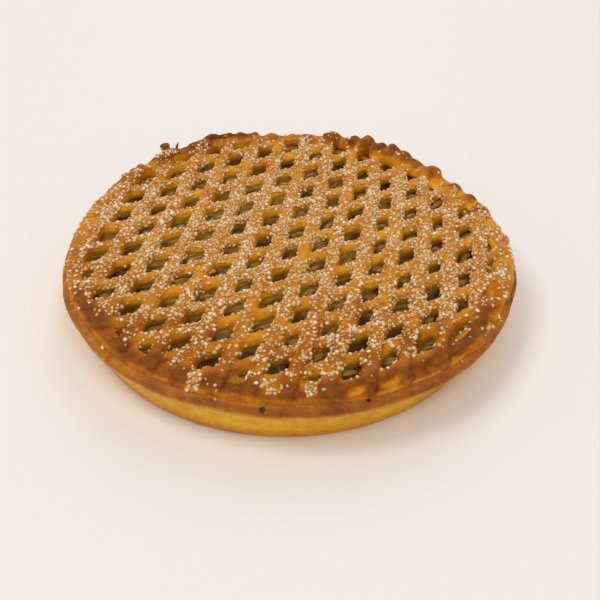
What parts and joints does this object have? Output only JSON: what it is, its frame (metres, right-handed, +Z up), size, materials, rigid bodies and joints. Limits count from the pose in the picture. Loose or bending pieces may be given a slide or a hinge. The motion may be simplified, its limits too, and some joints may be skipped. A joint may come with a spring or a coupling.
{
  "type": "gooseberry vlaai",
  "caption": "Round flat tart with a baked crust, a gooseberry filling and a sugared lattice top, whole and uncut.",
  "frame": {"origin": "middle of the flat underside", "axes": "+Z up out of the lattice top, -Y towards the side that shows in front, +X to its right"},
  "size_m": [0.2873, 0.2809, 0.0447],
  "materials": {
    "baked_crust": "golden yeast dough, speckled yellow where the tin was, brown on the risen lip",
    "gooseberry_jelly": "glossy olive-brown jelly with yellow-green berries",
    "lattice_crust": "orange-brown baked strips with chestnut ends, strewn with coarse pearl sugar",
    "coarse_sugar": "loose off-white sugar crystals, partly melted into the dough"
  },
  "bodies": {
    "root": {"base_crust": "baked_crust", "gooseberry_filling": "gooseberry_jelly", "lattice_top": "lattice_crust"}
  },
  "joints": []
}
